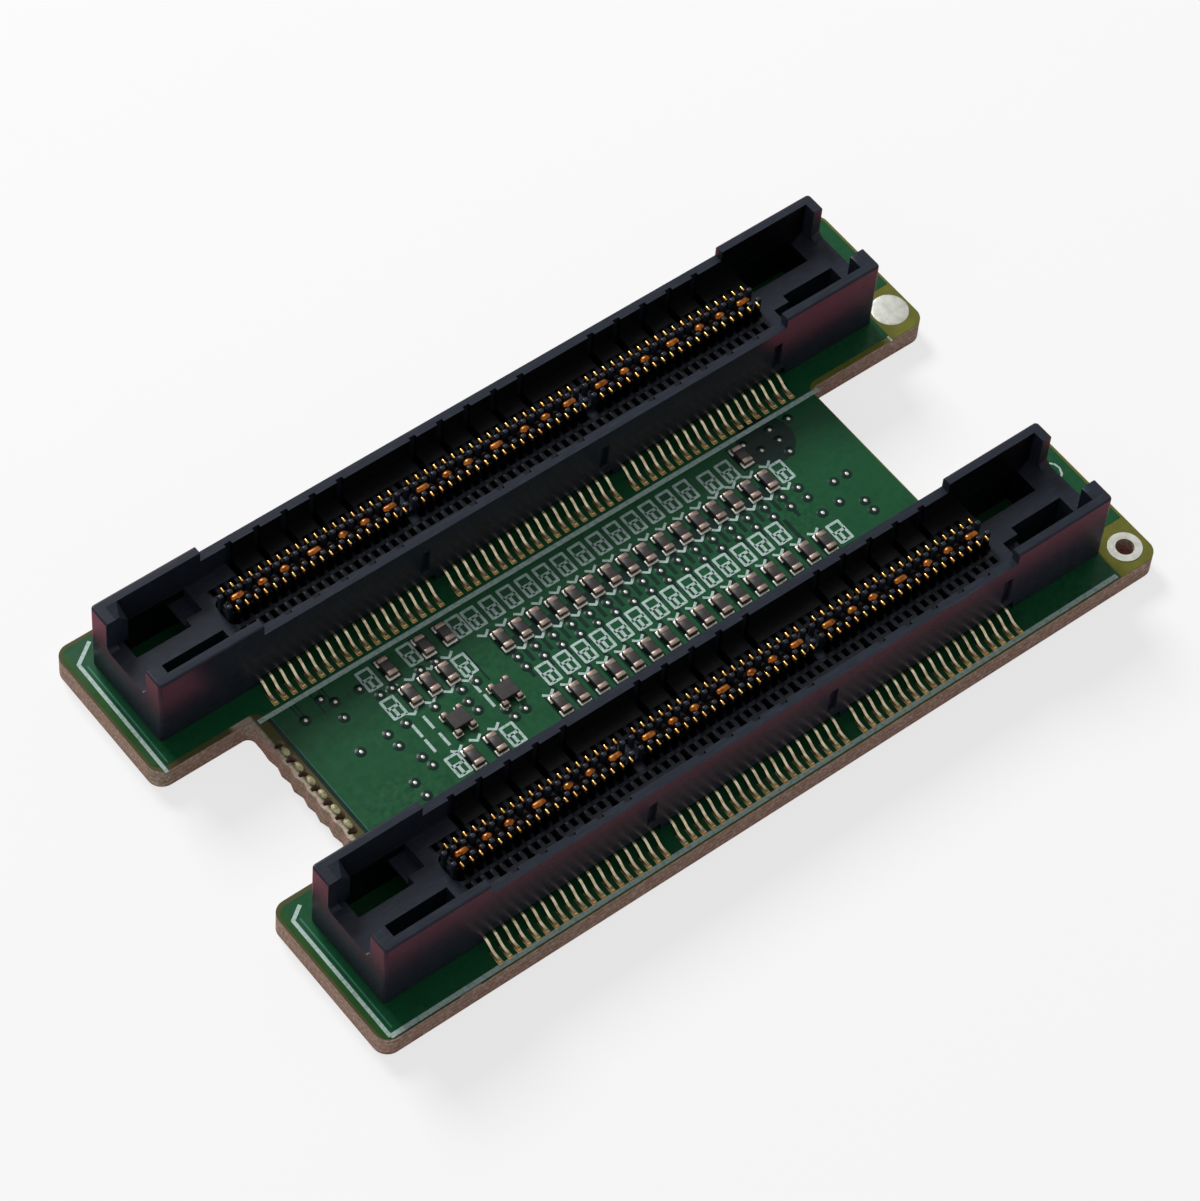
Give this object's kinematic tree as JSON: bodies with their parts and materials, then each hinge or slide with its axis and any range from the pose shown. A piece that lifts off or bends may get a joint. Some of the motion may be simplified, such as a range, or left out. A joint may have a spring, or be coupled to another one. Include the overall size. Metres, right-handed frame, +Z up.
{
  "type": "backplane board",
  "caption": "H-shaped circuit board carrying two long parallel surface-mount mezzanine sockets, with small chips on the web between them.",
  "frame": {"origin": "middle of the board outline, on its underside", "axes": "+X along the sockets, away from the broken-out edge of the web; +Y from the front socket to the rear socket; +Z up out of the sockets"},
  "size_m": [0.055, 0.031, 0.0069],
  "materials": {
    "board": "glass-fibre laminate under a green solder mask",
    "housing": "moulded black thermoplastic, fine matt",
    "contact": "copper alloy, gold over nickel on the blades, tin on the feet",
    "bus": "copper alloy, gold plated",
    "chip": "dark ceramic body with tinned ends"
  },
  "bodies": {
    "root": {"circuit_board": "board", "front_socket_housing": "housing", "rear_socket_housing": "housing", "front_socket_front_contacts_1": "contact", "front_socket_front_contacts_2": "contact", "front_socket_front_contacts_3": "contact", "front_socket_rear_contacts_1": "contact", "front_socket_rear_contacts_2": "contact", "front_socket_rear_contacts_3": "contact", "rear_socket_front_contacts_1": "contact", "rear_socket_front_contacts_2": "contact", "rear_socket_front_contacts_3": "contact", "rear_socket_rear_contacts_1": "contact", "rear_socket_rear_contacts_2": "contact", "rear_socket_rear_contacts_3": "contact", "front_socket_ground_bus_1": "bus", "front_socket_ground_bus_2": "bus", "front_socket_ground_bus_3": "bus", "rear_socket_ground_bus_1": "bus", "rear_socket_ground_bus_2": "bus", "rear_socket_ground_bus_3": "bus", "chip_resistors_middle_row": "chip", "chip_resistors_front_row": "chip", "chip_capacitors_rear_row": "chip", "chip_networks": "chip"}
  },
  "joints": []
}
